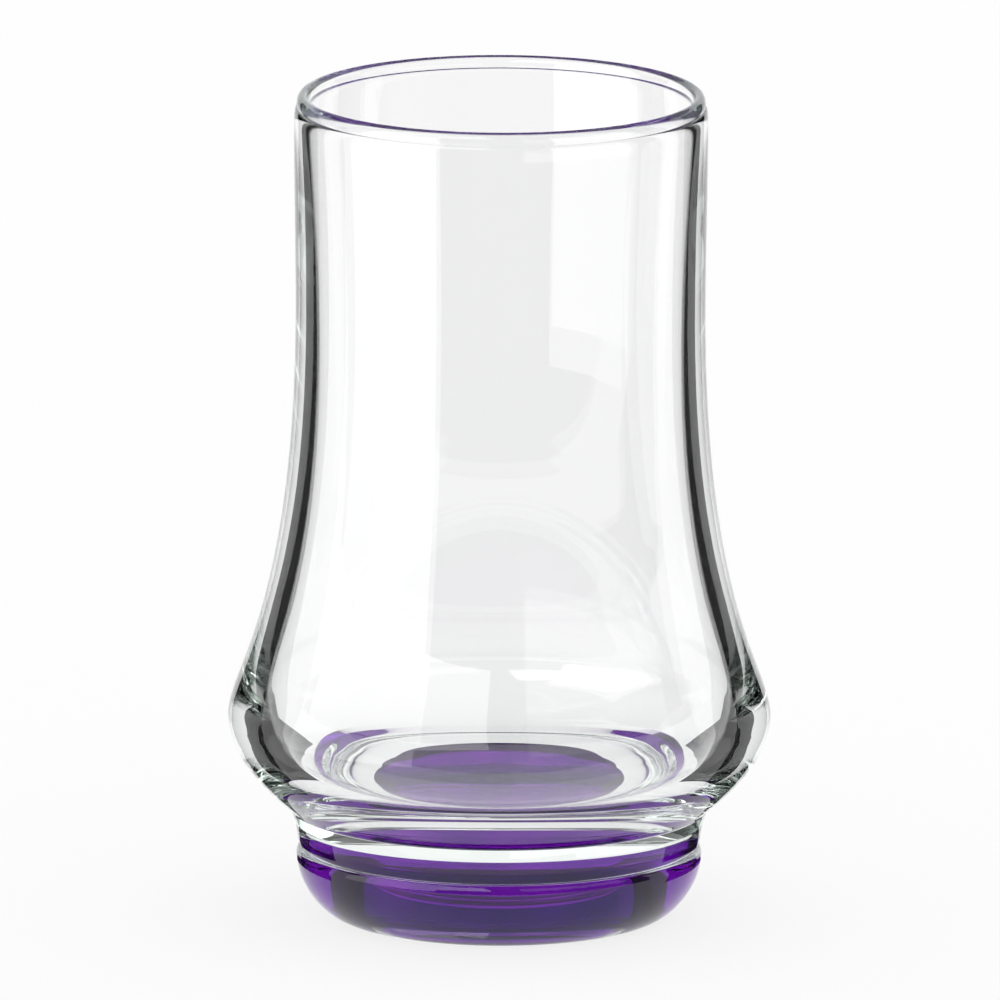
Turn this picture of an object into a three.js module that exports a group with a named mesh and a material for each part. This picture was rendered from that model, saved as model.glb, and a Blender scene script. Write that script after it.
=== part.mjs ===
// Whisky tasting glass: a clear pressed-and-blown glass body, and the violet lacquer film that
// lines the recess under its foot. Millimetres, +Z up, origin in the middle of the standing ring.
import * as THREE from 'three';

// Fineness: facets round the axis, steps along each curve, distance at which points are one point
const SIDES = 48;
const CROWN_STEPS = 7;
const HEEL_STEPS = 9;
const RING_EDGE_STEPS = 4;
const BAND_STEPS = 4;
const UNDERSIDE_STEPS = 10;
const FLARE_STEPS = 14;
const LIP_STEPS = 4;
const BEAD_STEPS = 10;
const CHIMNEY_STEPS = 4;
const INNER_FLARE_STEPS = 12;
const CORNER_STEPS = 12;
const SAME_POINT = 0.01;

// Foot, from the table upwards
const STANDING_RADIUS = 18.5;
const STANDING_WIDTH = 1.4;
const HEEL_HEIGHT = 7.35;
const RING_RADIUS = 23.78;
const RING_EDGE_HEIGHT = 0.85;
const RING_EDGE_SET_IN = 0.5;
const NOTCH_HEIGHT = 0.1;
const NOTCH_DEPTH = 0.53;
const BAND_HEIGHT = 2.85;
const BAND_FLARE = 0.7;
const CREASE_HEIGHT = 1.65;
const CREASE_FLARE = 0.62;

// Recess under the foot
const STANDING_LEAD_IN = 0.6;
const RECESS_WALL_HEIGHT = 9;
const RECESS_DRAFT = 0.2;
const RECESS_CROWN = 0.15;

// Outside of the bowl
const UNDERSIDE_HEIGHT = 10.85;
const SHOULDER_RADIUS = 31.85;
const FLARE_HEIGHT = 48.95;
const WAIST_RADIUS = 24.02;
const CHIMNEY_HEIGHT = 25.4;
const MOUTH_RADIUS = 24.25;

// Round bead along the lip, and the groove outside that sets it off from the wall
const LIP_HEIGHT = 4;
const LIP_BEAD_HALF_WIDTH = 0.75;
const LIP_BEAD_HALF_HEIGHT = 1.1;
const LIP_BEAD_SET_IN = 0.3;
const LIP_GROOVE_TURN = THREE.MathUtils.degToRad(32);

// Glass thickness and the inside of the bowl
const MOUTH_WALL = 1.75;
const WAIST_WALL = 2.42;
const SHOULDER_WALL = 4;
const BULB_RISE = 0.35;
const BASE_THICKNESS = 3.75;

// Lacquer film: it stops short of the table, where the glass would wear it off
const COAT_THICKNESS = 0.2;
const COAT_EDGE_HEIGHT = 3;

// Fullness of the free curves, as shares of the length that each one spans
const CROWN_FULLNESS = 0.5;
const HEEL_FULLNESS_OUT = 0.35;
const HEEL_FULLNESS_UP = 0.544;
const RING_EDGE_FULLNESS = 0.3;
const RING_EDGE_LEAN = 0.1;
const RING_EDGE_ROLL = 0.45;
const BAND_FULLNESS_OUT = 0.36;
const BAND_FULLNESS_SIDE = 0.5;
const BAND_FULLNESS_UP = 0.175;
const UNDERSIDE_FULLNESS_OUT = 0.124;
const UNDERSIDE_FULLNESS_UP = 0.092;
const SHOULDER_FULLNESS_BELOW = 0.493;
const SHOULDER_FULLNESS_ABOVE = 0.107;
const WAIST_FULLNESS = 0.744;
const LIP_FULLNESS = 0.5;
const INNER_WAIST_FULLNESS = 0.68;
const BULB_FULLNESS_ABOVE = 0.15;
const BULB_FULLNESS_BELOW = 0.486;
const FLOOR_FULLNESS = 0.7;

// Levels that follow from the lengths above
const ringTop = HEEL_HEIGHT + RING_EDGE_HEIGHT;
const bandFoot = ringTop + NOTCH_HEIGHT;
const creaseLevel = bandFoot + BAND_HEIGHT;
const undersideFoot = creaseLevel + CREASE_HEIGHT;
const shoulderLevel = undersideFoot + UNDERSIDE_HEIGHT;
const waistLevel = shoulderLevel + FLARE_HEIGHT;
const rimLevel = waistLevel + CHIMNEY_HEIGHT;
const lipFoot = rimLevel - LIP_HEIGHT;
const beadLevel = rimLevel - LIP_BEAD_HALF_HEIGHT;
const recessTop = RECESS_WALL_HEIGHT + RECESS_CROWN;
const floorLevel = recessTop + BASE_THICKNESS;
const bulbLevel = shoulderLevel + BULB_RISE;

// Radii that follow
const standingInside = STANDING_RADIUS - STANDING_WIDTH;
const notchRadius = RING_RADIUS - NOTCH_DEPTH;
const creaseRadius = notchRadius + BAND_FLARE;
const undersideRadius = creaseRadius + CREASE_FLARE;
const recessFootRadius = standingInside - STANDING_LEAD_IN;
const recessTopRadius = recessFootRadius - RECESS_DRAFT;
const beadRadius = MOUTH_RADIUS - LIP_BEAD_SET_IN - LIP_BEAD_HALF_WIDTH;
const mouthInside = MOUTH_RADIUS - MOUTH_WALL;
const waistInside = WAIST_RADIUS - WAIST_WALL;
const bulbRadius = SHOULDER_RADIUS - SHOULDER_WALL;

const at = (radius, height) => new THREE.Vector2(radius, height);

function bend(start, startHandle, endHandle, end, steps) {
  return new THREE.CubicBezierCurve(start, startHandle, endHandle, end).getPoints(steps);
}

function arc(centre, radialSize, heightSize, fromAngle, toAngle, steps) {
  const curve = new THREE.EllipseCurve(
    centre.x, centre.y, radialSize, heightSize, fromAngle, toAngle);
  return curve.getPoints(steps);
}

// Chains runs of points into one outline, without the points where two runs meet twice
function chain(...runs) {
  const outline = [];
  for (const point of runs.flat()) {
    const last = outline.at(-1);
    if (!last || last.distanceTo(point) > SAME_POINT) outline.push(point);
  }
  return outline;
}

// Point of the recess wall at a height above the table
function recessWall(height) {
  const share = (RECESS_WALL_HEIGHT - height) / (RECESS_WALL_HEIGHT - STANDING_LEAD_IN);
  return at(recessTopRadius + RECESS_DRAFT * share, height);
}

// Recess ceiling and wall, from the axis out and down to the edge of the lacquer
function lacqueredRun() {
  const ceiling = bend(
    at(0, recessTop),
    at(recessTopRadius * CROWN_FULLNESS, recessTop),
    at(recessTopRadius, RECESS_WALL_HEIGHT + RECESS_CROWN * CROWN_FULLNESS),
    at(recessTopRadius, RECESS_WALL_HEIGHT),
    CROWN_STEPS);
  return chain(ceiling, [recessWall(COAT_EDGE_HEIGHT)]);
}

// Standing ring, rounded heel, ring edge, notch and upper band of the foot
function footRun() {
  const heelReachOut = (RING_RADIUS - STANDING_RADIUS) * HEEL_FULLNESS_OUT;
  const heel = bend(
    at(STANDING_RADIUS, 0),
    at(STANDING_RADIUS + heelReachOut, 0),
    at(RING_RADIUS, HEEL_HEIGHT - HEEL_HEIGHT * HEEL_FULLNESS_UP),
    at(RING_RADIUS, HEEL_HEIGHT),
    HEEL_STEPS);
  const edge = bend(
    at(RING_RADIUS, HEEL_HEIGHT),
    at(
      RING_RADIUS - RING_EDGE_SET_IN * RING_EDGE_LEAN,
      HEEL_HEIGHT + RING_EDGE_HEIGHT * RING_EDGE_FULLNESS),
    at(RING_RADIUS - RING_EDGE_SET_IN * RING_EDGE_ROLL, ringTop),
    at(RING_RADIUS - RING_EDGE_SET_IN, ringTop),
    RING_EDGE_STEPS);
  const band = bend(
    at(notchRadius, bandFoot),
    at(notchRadius + BAND_FLARE * BAND_FULLNESS_OUT, bandFoot),
    at(notchRadius + BAND_FLARE * BAND_FULLNESS_SIDE, bandFoot + BAND_HEIGHT * BAND_FULLNESS_UP),
    at(creaseRadius, creaseLevel),
    BAND_STEPS);
  return chain([recessWall(STANDING_LEAD_IN), at(standingInside, 0)], heel, edge, band);
}

// Outside of the bowl, from the conical crease over the shoulder to the foot of the lip
function bowlRun() {
  const shoulder = at(SHOULDER_RADIUS, shoulderLevel);
  const waist = at(WAIST_RADIUS, waistLevel);
  const reachOut = (SHOULDER_RADIUS - undersideRadius) * UNDERSIDE_FULLNESS_OUT;
  const reachUp = UNDERSIDE_HEIGHT * UNDERSIDE_FULLNESS_UP;
  const underside = bend(
    at(undersideRadius, undersideFoot),
    at(undersideRadius + reachOut, undersideFoot + reachUp),
    at(SHOULDER_RADIUS, shoulderLevel - UNDERSIDE_HEIGHT * SHOULDER_FULLNESS_BELOW),
    shoulder,
    UNDERSIDE_STEPS);
  const flare = bend(
    shoulder,
    at(SHOULDER_RADIUS, shoulderLevel + FLARE_HEIGHT * SHOULDER_FULLNESS_ABOVE),
    at(WAIST_RADIUS, waistLevel - FLARE_HEIGHT * WAIST_FULLNESS),
    waist,
    FLARE_STEPS);
  return chain(underside, flare, [at(MOUTH_RADIUS, lipFoot)]);
}

// Lip: a groove outside, a round bead over it, and a smooth wall inside
function lipRun() {
  const bead = arc(
    at(beadRadius, beadLevel),
    LIP_BEAD_HALF_WIDTH,
    LIP_BEAD_HALF_HEIGHT,
    -LIP_GROOVE_TURN,
    Math.PI,
    BEAD_STEPS);
  const reach = (bead[0].y - lipFoot) * LIP_FULLNESS;
  const outside = bend(
    at(MOUTH_RADIUS, lipFoot),
    at(MOUTH_RADIUS, lipFoot + reach),
    at(MOUTH_RADIUS, bead[0].y),
    bead[0],
    LIP_STEPS);
  const inside = bend(
    bead.at(-1),
    at(beadRadius - LIP_BEAD_HALF_WIDTH, beadLevel - reach),
    at(mouthInside, lipFoot + reach),
    at(mouthInside, lipFoot),
    LIP_STEPS);
  return chain(outside, bead, inside);
}

// Inside of the bowl, from the lip down to the middle of the shallow floor
function cavityRun() {
  const waist = at(waistInside, waistLevel);
  const bulb = at(bulbRadius, bulbLevel);
  const flareLength = waistLevel - bulbLevel;
  const chimneyReach = (lipFoot - waistLevel) * LIP_FULLNESS;
  const chimney = bend(
    at(mouthInside, lipFoot),
    at(mouthInside, lipFoot - chimneyReach),
    at(waistInside, waistLevel + chimneyReach),
    waist,
    CHIMNEY_STEPS);
  const flare = bend(
    waist,
    at(waistInside, waistLevel - flareLength * INNER_WAIST_FULLNESS),
    at(bulbRadius, bulbLevel + flareLength * BULB_FULLNESS_ABOVE),
    bulb,
    INNER_FLARE_STEPS);
  const corner = bend(
    bulb,
    at(bulbRadius, bulbLevel - (bulbLevel - floorLevel) * BULB_FULLNESS_BELOW),
    at(bulbRadius * FLOOR_FULLNESS, floorLevel),
    at(0, floorLevel),
    CORNER_STEPS);
  return chain(chimney, flare, corner);
}

// The same run of points moved square to itself, to the side of the table and the axis
function offsetRun(run, distance) {
  return run.map((point, index) => {
    const before = run[Math.max(index - 1, 0)];
    const after = run[Math.min(index + 1, run.length - 1)];
    const along = after.clone().sub(before).normalize();
    const moved = at(point.x + along.y * distance, point.y - along.x * distance);
    return point.x === 0 ? at(0, point.y - distance) : moved;
  });
}

function revolve(name, outline, material) {
  const geometry = new THREE.LatheGeometry(outline, SIDES);
  geometry.rotateX(Math.PI / 2);
  const mesh = new THREE.Mesh(geometry, material);
  mesh.name = name;
  return mesh;
}

const clearGlass = new THREE.MeshStandardMaterial({
  color: 0xe4ebe9,
  roughness: 0.03,
  metalness: 0,
  transparent: true,
  opacity: 0.35,
});

const violetLacquer = new THREE.MeshStandardMaterial({
  color: 0x3f1494,
  roughness: 0.15,
  metalness: 0,
});

const lacquered = lacqueredRun();
const glassOutline = chain(lacquered, footRun(), bowlRun(), lipRun(), cavityRun());
const coatOutline = [...offsetRun(lacquered, COAT_THICKNESS), ...lacquered.toReversed()];

const tastingGlass = new THREE.Group();
tastingGlass.add(
  revolve('glass_body', glassOutline, clearGlass),
  revolve('base_colour_coat', coatOutline, violetLacquer),
);

export default tastingGlass;
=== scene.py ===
"""Looks of a whisky tasting glass: clear glass with a violet lacquer film under its foot.

Sizes are millimetres in the part's own frame, +Z up, and become metres where meshes are made.
"""

import math

import bpy
import numpy as np
from mathutils import Matrix, Vector


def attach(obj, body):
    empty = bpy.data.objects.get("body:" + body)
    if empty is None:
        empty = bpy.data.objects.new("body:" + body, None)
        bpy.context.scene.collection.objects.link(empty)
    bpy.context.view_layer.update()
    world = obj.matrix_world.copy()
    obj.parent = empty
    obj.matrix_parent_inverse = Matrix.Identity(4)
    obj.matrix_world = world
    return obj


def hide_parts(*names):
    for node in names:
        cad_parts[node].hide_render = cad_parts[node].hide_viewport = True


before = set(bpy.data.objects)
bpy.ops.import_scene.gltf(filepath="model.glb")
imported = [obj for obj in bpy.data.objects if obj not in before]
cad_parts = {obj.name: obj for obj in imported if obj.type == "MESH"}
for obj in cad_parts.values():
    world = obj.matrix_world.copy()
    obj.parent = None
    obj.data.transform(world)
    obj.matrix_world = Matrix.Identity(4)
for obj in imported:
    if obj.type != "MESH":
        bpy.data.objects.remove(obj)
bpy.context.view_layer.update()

MM = 0.001
SEGMENTS = 320

# Foot, from the table upwards
STANDING_RADIUS = 18.5
STANDING_INSIDE = 17.1
RING_RADIUS = 23.78
HEEL_HEIGHT = 7.35
HEEL_REACH_OUT = 1.85
HEEL_REACH_DOWN = 4.0
RING_EDGE_SET_IN = 0.5
RING_EDGE_HEIGHT = 0.85
RING_EDGE_LEAN = 0.1
RING_EDGE_RISE = 0.3
RING_EDGE_ROLL = 0.45
NOTCH_RADIUS = 23.25
NOTCH_LEVEL = 8.3
BAND_ROUND_OUT = 0.25
BAND_SIDE_OUT = 0.35
BAND_SIDE_UP = 0.5
CREASE_RADIUS = 23.95
CREASE_LEVEL = 11.15
CREASE_FLARE = 0.62
CREASE_HEIGHT = 1.65

# Recess under the foot and its lacquer
RECESS_WALL_HEIGHT = 9.0
RECESS_CROWN = 0.15
RECESS_FOOT_RADIUS = 16.5
RECESS_TOP_RADIUS = 16.3
RECESS_CORNER_SHARE = 0.5
STANDING_LEAD_IN = 0.6
COAT_EDGE_LEVEL = 3.0
COAT_BITE = 0.03
COAT_FILM = 0.15

# Outside of the bowl; a reach is how far a curve runs on before it bends away
UNDERSIDE_REACH_OUT = 0.9
UNDERSIDE_REACH_UP = 1.0
SHOULDER_RADIUS = 31.85
SHOULDER_LEVEL = 23.65
SHOULDER_REACH_DOWN = 5.35
SHOULDER_REACH_UP = 5.25
WAIST_RADIUS = 24.02
WAIST_LEVEL = 72.6
WAIST_REACH_DOWN = 36.4
WAIST_REACH_UP = 5.5
MOUTH_RADIUS = 24.25
MOUTH_REACH_DOWN = 7.0
LIP_FOOT = 94.0
BEAD_RADIUS = 23.2
BEAD_HALF_WIDTH = 0.75
BEAD_HALF_HEIGHT = 1.1
GROOVE_TURN = math.radians(24)
RIM_LEVEL = 97.99

# Inside of the bowl
MOUTH_INSIDE = 22.5
INNER_WAIST_RADIUS = 21.6
INNER_WAIST_LEVEL = 67.5
INNER_WAIST_REACH_UP = 10.5
INNER_WAIST_REACH_DOWN = 29.6
BULB_RADIUS = 27.85
BULB_LEVEL = 24.0
BULB_REACH_UP = 7.05
BULB_REACH_DOWN = 5.4
FLOOR_LEVEL = 12.9
FLOOR_FLAT_RADIUS = 0.5
FLOOR_REACH_OUT = 19.0

# Clear soda-lime glass
GLASS_IOR = 1.52
GLASS_TINT = (0.80, 0.92, 0.86, 1)
GLASS_DENSITY = 8.0

# Chill ripple of the pressed foot
RIPPLES_PER_METRE = 180.0
RIPPLE_DEPTH = 0.05
RIPPLE_TOP = 20.0
RIPPLE_LEAST = 0.02
RIPPLE_MOST = 0.12

# Lacquer: light that one surface of the film lets through where it is thick and thin
LACQUER_THICK = (0.30, 0.03, 0.54, 1)
LACQUER_THIN = (0.46, 0.07, 0.70, 1)
MOTTLES_PER_METRE = 140.0
PIGMENT = (0.07, 0.004, 0.18, 1)
PIGMENT_SHARE = 0.12
PIGMENT_ROUGHNESS = 0.25

# Camera, at the photograph's viewing angle
CAMERA_DISTANCE = 4500.0
CAMERA_HEIGHT = 997.7
CAMERA_PITCH = math.radians(11.9)
CAMERA_ROLL = math.radians(0.18)
FOCAL_PIXELS = 39219.0
PHOTO_WIDTH = 1000.0
SENSOR_WIDTH = 36.0

# Floor; the share of plain white is what the camera sees, and the rest carries the shadow
FLOOR_HALF_WIDTH = 4000.0
FLOOR_DROP = 0.1
FLOOR_COLOUR = (0.95, 0.95, 0.95, 1)
FLOOR_WHITE_SHARE = 0.8

# Curved studio cards, as rows of radius, height and two angles
FLAG = [
    (36, 0.4, 46, 100),
    (70, 0.4, 48, 84),
    (70, 22, 46, 84),
    (70, 30, 43, 80),
    (70, 40, 44, 74),
    (70, 110, 44, 74),
]
SOFTBOX_LEFT = [(180, 0, -146, -88), (180, 260, -146, -88)]
SOFTBOX_RIGHT = [(180, 66, 104, 168), (180, 130, 104, 168)]
DARK_ROOM = [(1500, 0, 85, 275), (1500, 1500, 85, 275)]

# Flat studio cards, as four corners
DARK_TABLE = [(-1500, -1500, 0.5), (1500, -1500, 0.5), (1500, -60, 0.5), (-1500, -60, 0.5)]
DARK_CEILING = [(-3000, -1500, 1500), (3000, -1500, 1500), (3000, 3000, 1500), (-3000, 3000, 1500)]
SOFTBOX_ABOVE = [(-900, -1100, 450), (-80, -1100, 450), (-80, -400, 450), (-900, -400, 450)]

# Brightness of the cards, where the white surround has 1
FLAG_LEVEL = 0.01
SOFTBOX_LEFT_LEVEL = 2.0
SOFTBOX_RIGHT_LEVEL = 0.8
SOFTBOX_ABOVE_LEVEL = 2.5
DARK_ROOM_LEVEL = 0.1
DARK_CEILING_LEVEL = 0.15
CARD_STEPS = 24

LIGHT_BOUNCES = 32


def bend(start, start_handle, end_handle, end, steps):
    """Points along a cubic curve, in (radius, height)."""
    t = np.linspace(0.0, 1.0, steps + 1)[:, None]
    p0, p1, p2, p3 = (np.array(p, float) for p in (start, start_handle, end_handle, end))
    return (1 - t) ** 3 * p0 + 3 * (1 - t) ** 2 * t * p1 + 3 * (1 - t) * t ** 2 * p2 + t ** 3 * p3


def arc(centre, radial, height, start, end, steps):
    """Points along an elliptical arc, in (radius, height)."""
    a = np.linspace(start, end, steps + 1)
    return np.c_[centre[0] + radial * np.cos(a), centre[1] + height * np.sin(a)]


def straight(start, end, steps):
    t = np.linspace(0.0, 1.0, steps + 1)[:, None]
    return np.array(start, float) * (1 - t) + np.array(end, float) * t


def chain(*runs):
    """One outline from several runs, without the points where two runs meet twice."""
    points = [runs[0][0]]
    for run in runs:
        for point in run:
            if np.hypot(*(point - points[-1])) > 1e-4:
                points.append(point)
    return np.array(points)


def recess_wall(level):
    """Radius of the recess wall at a level."""
    share = (RECESS_WALL_HEIGHT - level) / (RECESS_WALL_HEIGHT - STANDING_LEAD_IN)
    return RECESS_TOP_RADIUS + (RECESS_FOOT_RADIUS - RECESS_TOP_RADIUS) * share


def recess_run(foot_level):
    """Recess ceiling and wall, from the axis out and down to a level."""
    top = RECESS_WALL_HEIGHT + RECESS_CROWN
    ceiling = bend(
        (0, top),
        (RECESS_TOP_RADIUS * RECESS_CORNER_SHARE, top),
        (RECESS_TOP_RADIUS, RECESS_WALL_HEIGHT + RECESS_CROWN * RECESS_CORNER_SHARE),
        (RECESS_TOP_RADIUS, RECESS_WALL_HEIGHT),
        36)
    wall = straight(
        (RECESS_TOP_RADIUS, RECESS_WALL_HEIGHT),
        (recess_wall(foot_level), foot_level),
        10)
    return chain(ceiling, wall)


def foot_run():
    """Standing ring, heel, ring edge, notch and upper band."""
    heel = bend(
        (STANDING_RADIUS, 0),
        (STANDING_RADIUS + HEEL_REACH_OUT, 0),
        (RING_RADIUS, HEEL_HEIGHT - HEEL_REACH_DOWN),
        (RING_RADIUS, HEEL_HEIGHT),
        40)
    edge = bend(
        (RING_RADIUS, HEEL_HEIGHT),
        (RING_RADIUS - RING_EDGE_SET_IN * RING_EDGE_LEAN, HEEL_HEIGHT + RING_EDGE_HEIGHT * RING_EDGE_RISE),
        (RING_RADIUS - RING_EDGE_SET_IN * RING_EDGE_ROLL, HEEL_HEIGHT + RING_EDGE_HEIGHT),
        (RING_RADIUS - RING_EDGE_SET_IN, HEEL_HEIGHT + RING_EDGE_HEIGHT),
        16)
    band = bend(
        (NOTCH_RADIUS, NOTCH_LEVEL),
        (NOTCH_RADIUS + BAND_ROUND_OUT, NOTCH_LEVEL),
        (NOTCH_RADIUS + BAND_SIDE_OUT, NOTCH_LEVEL + BAND_SIDE_UP),
        (CREASE_RADIUS, CREASE_LEVEL),
        20)
    ring = straight((STANDING_INSIDE, 0), (STANDING_RADIUS, 0), 2)
    return chain(ring, heel, edge, band)


def bowl_run():
    """Outside of the bowl, from the conical crease to the foot of the lip."""
    shoulder = (SHOULDER_RADIUS, SHOULDER_LEVEL)
    waist = (WAIST_RADIUS, WAIST_LEVEL)
    crease_top = (CREASE_RADIUS + CREASE_FLARE, CREASE_LEVEL + CREASE_HEIGHT)
    crease = straight((CREASE_RADIUS, CREASE_LEVEL), crease_top, 10)
    underside = bend(
        crease_top,
        (crease_top[0] + UNDERSIDE_REACH_OUT, crease_top[1] + UNDERSIDE_REACH_UP),
        (SHOULDER_RADIUS, SHOULDER_LEVEL - SHOULDER_REACH_DOWN),
        shoulder,
        48)
    flare = bend(
        shoulder,
        (SHOULDER_RADIUS, SHOULDER_LEVEL + SHOULDER_REACH_UP),
        (WAIST_RADIUS, WAIST_LEVEL - WAIST_REACH_DOWN),
        waist,
        80)
    chimney = bend(
        waist,
        (WAIST_RADIUS, WAIST_LEVEL + WAIST_REACH_UP),
        (MOUTH_RADIUS, LIP_FOOT - MOUTH_REACH_DOWN),
        (MOUTH_RADIUS, LIP_FOOT),
        16)
    return chain(crease, underside, flare, chimney)


def lip_run():
    """Lip: a groove outside, a round bead over it, and a smooth wall inside."""
    bead_level = RIM_LEVEL - BEAD_HALF_HEIGHT
    bead = arc((BEAD_RADIUS, bead_level), BEAD_HALF_WIDTH, BEAD_HALF_HEIGHT, -GROOVE_TURN, math.pi, 36)
    groove_level = bead[0][1]
    reach = (groove_level - LIP_FOOT) / 2
    outside = bend(
        (MOUTH_RADIUS, LIP_FOOT),
        (MOUTH_RADIUS, LIP_FOOT + reach),
        (MOUTH_RADIUS, groove_level),
        bead[0],
        14)
    inside = bend(
        bead[-1],
        (BEAD_RADIUS - BEAD_HALF_WIDTH, bead_level - reach),
        (MOUTH_INSIDE, LIP_FOOT + reach),
        (MOUTH_INSIDE, LIP_FOOT),
        14)
    return chain(outside, bead, inside)


def cavity_run():
    """Inside of the bowl, from the lip down to the middle of the floor."""
    bulb = (BULB_RADIUS, BULB_LEVEL)
    waist = (INNER_WAIST_RADIUS, INNER_WAIST_LEVEL)
    chimney = bend(
        (MOUTH_INSIDE, LIP_FOOT),
        (MOUTH_INSIDE, LIP_FOOT - MOUTH_REACH_DOWN),
        (INNER_WAIST_RADIUS, INNER_WAIST_LEVEL + INNER_WAIST_REACH_UP),
        waist,
        24)
    flare = bend(
        waist,
        (INNER_WAIST_RADIUS, INNER_WAIST_LEVEL - INNER_WAIST_REACH_DOWN),
        (BULB_RADIUS, BULB_LEVEL + BULB_REACH_UP),
        bulb,
        70)
    corner = bend(
        bulb,
        (BULB_RADIUS, BULB_LEVEL - BULB_REACH_DOWN),
        (FLOOR_FLAT_RADIUS + FLOOR_REACH_OUT, FLOOR_LEVEL),
        (FLOOR_FLAT_RADIUS, FLOOR_LEVEL),
        56)
    flat = straight((FLOOR_FLAT_RADIUS, FLOOR_LEVEL), (0, FLOOR_LEVEL), 8)
    return chain(chimney, flare, corner, flat)


def revolve(name, outline):
    """Closed smooth mesh of a (radius, height) outline that starts and ends on the axis."""
    ring = outline[1:-1]
    count = len(ring)
    angle = 2 * math.pi * np.arange(SEGMENTS) / SEGMENTS
    x = np.outer(np.cos(angle), ring[:, 0])
    y = np.outer(np.sin(angle), ring[:, 0])
    z = np.tile(ring[:, 1], (SEGMENTS, 1))
    verts = np.stack([x, y, z], -1).reshape(-1, 3)
    poles = [[0, 0, outline[0][1]], [0, 0, outline[-1][1]]]
    verts = np.vstack([verts, poles]) * MM
    first, last = len(verts) - 2, len(verts) - 1
    faces = []
    for s in range(SEGMENTS):
        here, there = s * count, (s + 1) % SEGMENTS * count
        faces.append((first, there, here))
        faces.append((last, here + count - 1, there + count - 1))
        faces += [(here + j, there + j, there + j + 1, here + j + 1) for j in range(count - 1)]
    mesh = bpy.data.meshes.new(name)
    mesh.from_pydata(verts.tolist(), [], faces)
    mesh.polygons.foreach_set("use_smooth", [True] * len(faces))
    piece = bpy.data.objects.new(name, mesh)
    bpy.context.scene.collection.objects.link(piece)
    return piece


def new_material(name):
    material = bpy.data.materials.new(name)
    material.use_nodes = True
    tree = material.node_tree
    tree.nodes.clear()
    output = tree.nodes.new("ShaderNodeOutputMaterial")
    return material, tree, output


def chill_ripple(tree):
    """Normal of the faint ripple that the mould leaves on the foot, fading out above the crease."""
    nodes, links = tree.nodes, tree.links
    place = nodes.new("ShaderNodeTexCoord")
    ripple = nodes.new("ShaderNodeTexNoise")
    ripple.inputs["Scale"].default_value = RIPPLES_PER_METRE
    ripple.inputs["Detail"].default_value = 1.0
    links.new(place.outputs["Object"], ripple.inputs["Vector"])
    axes = nodes.new("ShaderNodeSeparateXYZ")
    links.new(place.outputs["Object"], axes.inputs["Vector"])
    fade = nodes.new("ShaderNodeMapRange")
    fade.inputs["From Min"].default_value = RIPPLE_TOP * MM
    fade.inputs["From Max"].default_value = CREASE_LEVEL * MM
    fade.inputs["To Min"].default_value = RIPPLE_LEAST
    fade.inputs["To Max"].default_value = RIPPLE_MOST
    links.new(axes.outputs["Z"], fade.inputs["Value"])
    bump = nodes.new("ShaderNodeBump")
    bump.inputs["Distance"].default_value = RIPPLE_DEPTH * MM
    links.new(ripple.outputs["Fac"], bump.inputs["Height"])
    links.new(fade.outputs["Result"], bump.inputs["Strength"])
    return bump.outputs["Normal"]


def glass_material():
    """Clear soda-lime glass: faint green in the thick parts, chill ripple on the pressed foot."""
    material, tree, output = new_material("clear_glass_look")
    nodes, links = tree.nodes, tree.links
    surface = nodes.new("ShaderNodeBsdfPrincipled")
    surface.inputs["Base Color"].default_value = (1, 1, 1, 1)
    surface.inputs["Roughness"].default_value = 0.0
    surface.inputs["IOR"].default_value = GLASS_IOR
    surface.inputs["Transmission Weight"].default_value = 1.0
    links.new(chill_ripple(tree), surface.inputs["Normal"])
    body = nodes.new("ShaderNodeVolumeAbsorption")
    body.inputs["Color"].default_value = GLASS_TINT
    body.inputs["Density"].default_value = GLASS_DENSITY
    links.new(surface.outputs["BSDF"], output.inputs["Surface"])
    links.new(body.outputs["Volume"], output.inputs["Volume"])
    return material


def lacquer_material():
    """Transparent violet lacquer: a tinted film with some pigment in it."""
    material, tree, output = new_material("violet_lacquer_look")
    nodes, links = tree.nodes, tree.links
    pigment = nodes.new("ShaderNodeBsdfPrincipled")
    pigment.inputs["Base Color"].default_value = PIGMENT
    pigment.inputs["Roughness"].default_value = PIGMENT_ROUGHNESS
    tint = nodes.new("ShaderNodeBsdfTransparent")
    place = nodes.new("ShaderNodeTexCoord")
    mottle = nodes.new("ShaderNodeTexNoise")
    mottle.inputs["Scale"].default_value = MOTTLES_PER_METRE
    mottle.inputs["Detail"].default_value = 4.0
    links.new(place.outputs["Object"], mottle.inputs["Vector"])
    tone = nodes.new("ShaderNodeValToRGB")
    tone.color_ramp.elements[0].position = 0.3
    tone.color_ramp.elements[0].color = LACQUER_THICK
    tone.color_ramp.elements[1].position = 0.7
    tone.color_ramp.elements[1].color = LACQUER_THIN
    links.new(mottle.outputs["Fac"], tone.inputs["Fac"])
    links.new(tone.outputs["Color"], tint.inputs["Color"])
    film = nodes.new("ShaderNodeMixShader")
    film.inputs["Fac"].default_value = PIGMENT_SHARE
    links.new(tint.outputs["BSDF"], film.inputs[1])
    links.new(pigment.outputs["BSDF"], film.inputs[2])
    links.new(film.outputs["Shader"], output.inputs["Surface"])
    return material


def make_glass():
    outline = chain(recess_run(STANDING_LEAD_IN), foot_run(), bowl_run(), lip_run(), cavity_run())
    piece = revolve("glass_body_smooth", outline)
    piece.data.materials.append(glass_material())
    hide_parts("glass_body")
    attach(piece, "root")


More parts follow.
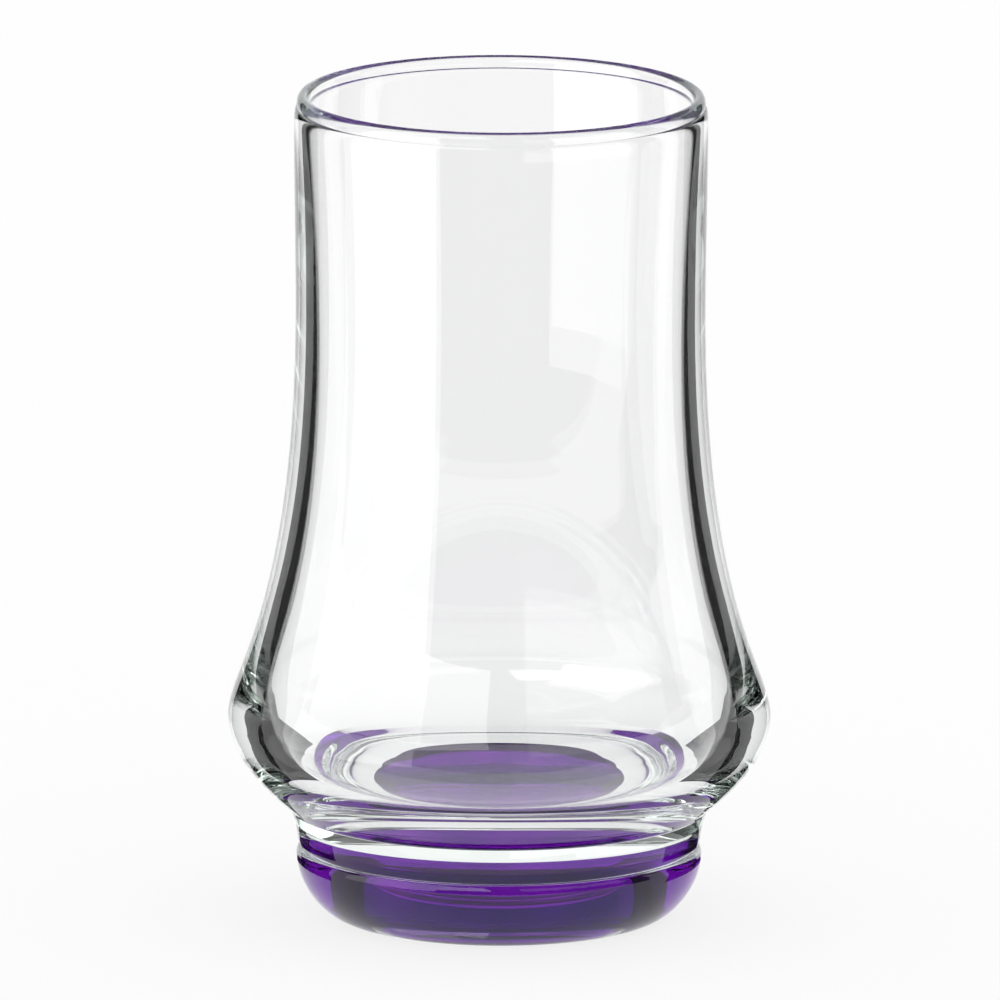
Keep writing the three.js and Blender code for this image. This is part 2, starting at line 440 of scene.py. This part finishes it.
def make_coat():
    """The film bites a little into the glass, so that no air lies between them."""
    recess = recess_run(COAT_EDGE_LEVEL)
    along = np.gradient(recess, axis=0)
    along /= np.hypot(along[:, 0], along[:, 1])[:, None]
    outward = np.c_[-along[:, 1], along[:, 0]]
    outward[0] = (0, 1)
    upper = recess + outward * COAT_BITE
    lower = recess - outward * COAT_FILM
    piece = revolve("base_colour_film", chain(lower, upper[::-1]))
    piece.data.materials.append(lacquer_material())
    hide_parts("base_colour_coat")
    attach(piece, "root")


def make_camera():
    data = bpy.data.cameras.new("photo_camera")
    data.sensor_width = SENSOR_WIDTH
    data.lens = SENSOR_WIDTH * FOCAL_PIXELS / PHOTO_WIDTH
    camera = bpy.data.objects.new("photo_camera", data)
    camera.location = Vector((0, -CAMERA_DISTANCE, CAMERA_HEIGHT)) * MM
    aim = Matrix.Rotation(math.pi / 2 - CAMERA_PITCH, 3, "X") @ Matrix.Rotation(CAMERA_ROLL, 3, "Z")
    camera.rotation_euler = aim.to_euler()
    bpy.context.scene.collection.objects.link(camera)
    bpy.context.scene.camera = camera
    return camera


def emission_material(name, level):
    material, tree, output = new_material(name)
    glow = tree.nodes.new("ShaderNodeEmission")
    glow.inputs["Color"].default_value = (1, 1, 1, 1)
    glow.inputs["Strength"].default_value = level
    tree.links.new(glow.outputs["Emission"], output.inputs["Surface"])
    return material


def make_rig(camera):
    """A turntable for the studio cards: it turns about the glass to face the camera."""
    rig = bpy.data.objects.new("card_rig", None)
    bpy.context.scene.collection.objects.link(rig)
    turn = rig.constraints.new("LOCKED_TRACK")
    turn.target = camera
    turn.track_axis = "TRACK_NEGATIVE_Y"
    turn.lock_axis = "LOCK_Z"
    return rig


def hang_card(rig, name, mesh, level):
    mesh.materials.append(emission_material(name, level))
    card = bpy.data.objects.new(name, mesh)
    bpy.context.scene.collection.objects.link(card)
    card.parent = rig
    card.visible_camera = False
    card.visible_diffuse = False
    card.visible_shadow = False


def make_card(rig, name, rows, level):
    """Curved card round the glass, seen only in the glass.

    rows lists a radius, a height and the two angles that the card spans there, measured from
    straight behind the glass towards the viewer's right."""
    verts = []
    for radius, height, start, end in rows:
        for angle in np.radians(np.linspace(start, end, CARD_STEPS + 1)):
            verts.append((radius * math.sin(angle) * MM, radius * math.cos(angle) * MM, height * MM))
    wide = CARD_STEPS + 1
    faces = [(r * wide + i, r * wide + i + 1, (r + 1) * wide + i + 1, (r + 1) * wide + i)
             for r in range(len(rows) - 1) for i in range(CARD_STEPS)]
    mesh = bpy.data.meshes.new(name)
    mesh.from_pydata(verts, [], faces)
    hang_card(rig, name, mesh, level)


def make_panel(rig, name, corners, level):
    """Flat card seen only in the glass, from four corners in the rig's millimetres."""
    mesh = bpy.data.meshes.new(name)
    mesh.from_pydata([Vector(corner) * MM for corner in corners], [], [(0, 1, 2, 3)])
    hang_card(rig, name, mesh, level)


def greater(tree, first, second):
    """The greater of two sockets."""
    pick = tree.nodes.new("ShaderNodeMath")
    pick.operation = "MAXIMUM"
    tree.links.new(first, pick.inputs[0])
    tree.links.new(second, pick.inputs[1])
    return pick.outputs["Value"]


def make_floor():
    """Pale floor, shown nearly white to the camera and in the glass, with a light shadow."""
    size = FLOOR_HALF_WIDTH * MM
    corners = [(-size, -size, 0), (size, -size, 0), (size, size, 0), (-size, size, 0)]
    mesh = bpy.data.meshes.new("floor")
    mesh.from_pydata(corners, [], [(0, 1, 2, 3)])
    material, tree, output = new_material("pale_floor")
    nodes, links = tree.nodes, tree.links
    paper = nodes.new("ShaderNodeBsdfDiffuse")
    paper.inputs["Color"].default_value = FLOOR_COLOUR
    white = nodes.new("ShaderNodeEmission")
    white.inputs["Color"].default_value = (1, 1, 1, 1)
    white.inputs["Strength"].default_value = 1.0
    path = nodes.new("ShaderNodeLightPath")
    in_glass = greater(tree, path.outputs["Is Glossy Ray"], path.outputs["Is Transmission Ray"])
    shown = greater(tree, path.outputs["Is Camera Ray"], in_glass)
    share = nodes.new("ShaderNodeMath")
    share.operation = "MULTIPLY"
    share.inputs[1].default_value = FLOOR_WHITE_SHARE
    links.new(shown, share.inputs[0])
    mix = nodes.new("ShaderNodeMixShader")
    links.new(share.outputs["Value"], mix.inputs["Fac"])
    links.new(paper.outputs["BSDF"], mix.inputs[1])
    links.new(white.outputs["Emission"], mix.inputs[2])
    links.new(mix.outputs["Shader"], output.inputs["Surface"])
    mesh.materials.append(material)
    floor = bpy.data.objects.new("floor", mesh)
    floor.location.z = -FLOOR_DROP * MM
    bpy.context.scene.collection.objects.link(floor)


def make_world():
    world = bpy.data.worlds.new("white_studio")
    world.use_nodes = True
    background = world.node_tree.nodes["Background"]
    background.inputs["Color"].default_value = (1, 1, 1, 1)
    background.inputs["Strength"].default_value = 1.0
    bpy.context.scene.world = world


def set_render_depth():
    """Enough bounces for light to find its way through thick glass."""
    scene = bpy.context.scene
    scene.cycles.max_bounces = LIGHT_BOUNCES
    scene.cycles.transmission_bounces = LIGHT_BOUNCES
    scene.cycles.glossy_bounces = LIGHT_BOUNCES
    scene.cycles.transparent_max_bounces = LIGHT_BOUNCES
    scene.view_settings.view_transform = "Standard"


camera = make_camera()
make_glass()
make_coat()
rig = make_rig(camera)
mirrored = [(radius, height, -end, -start) for radius, height, start, end in FLAG]
make_card(rig, "flag_left", mirrored, FLAG_LEVEL)
make_card(rig, "flag_right", FLAG, FLAG_LEVEL)
make_card(rig, "softbox_left", SOFTBOX_LEFT, SOFTBOX_LEFT_LEVEL)
make_card(rig, "softbox_right", SOFTBOX_RIGHT, SOFTBOX_RIGHT_LEVEL)
make_card(rig, "dark_room", DARK_ROOM, DARK_ROOM_LEVEL)
make_panel(rig, "dark_table", DARK_TABLE, DARK_ROOM_LEVEL)
make_panel(rig, "dark_ceiling", DARK_CEILING, DARK_CEILING_LEVEL)
make_panel(rig, "softbox_above", SOFTBOX_ABOVE, SOFTBOX_ABOVE_LEVEL)
make_floor()
make_world()
set_render_depth()
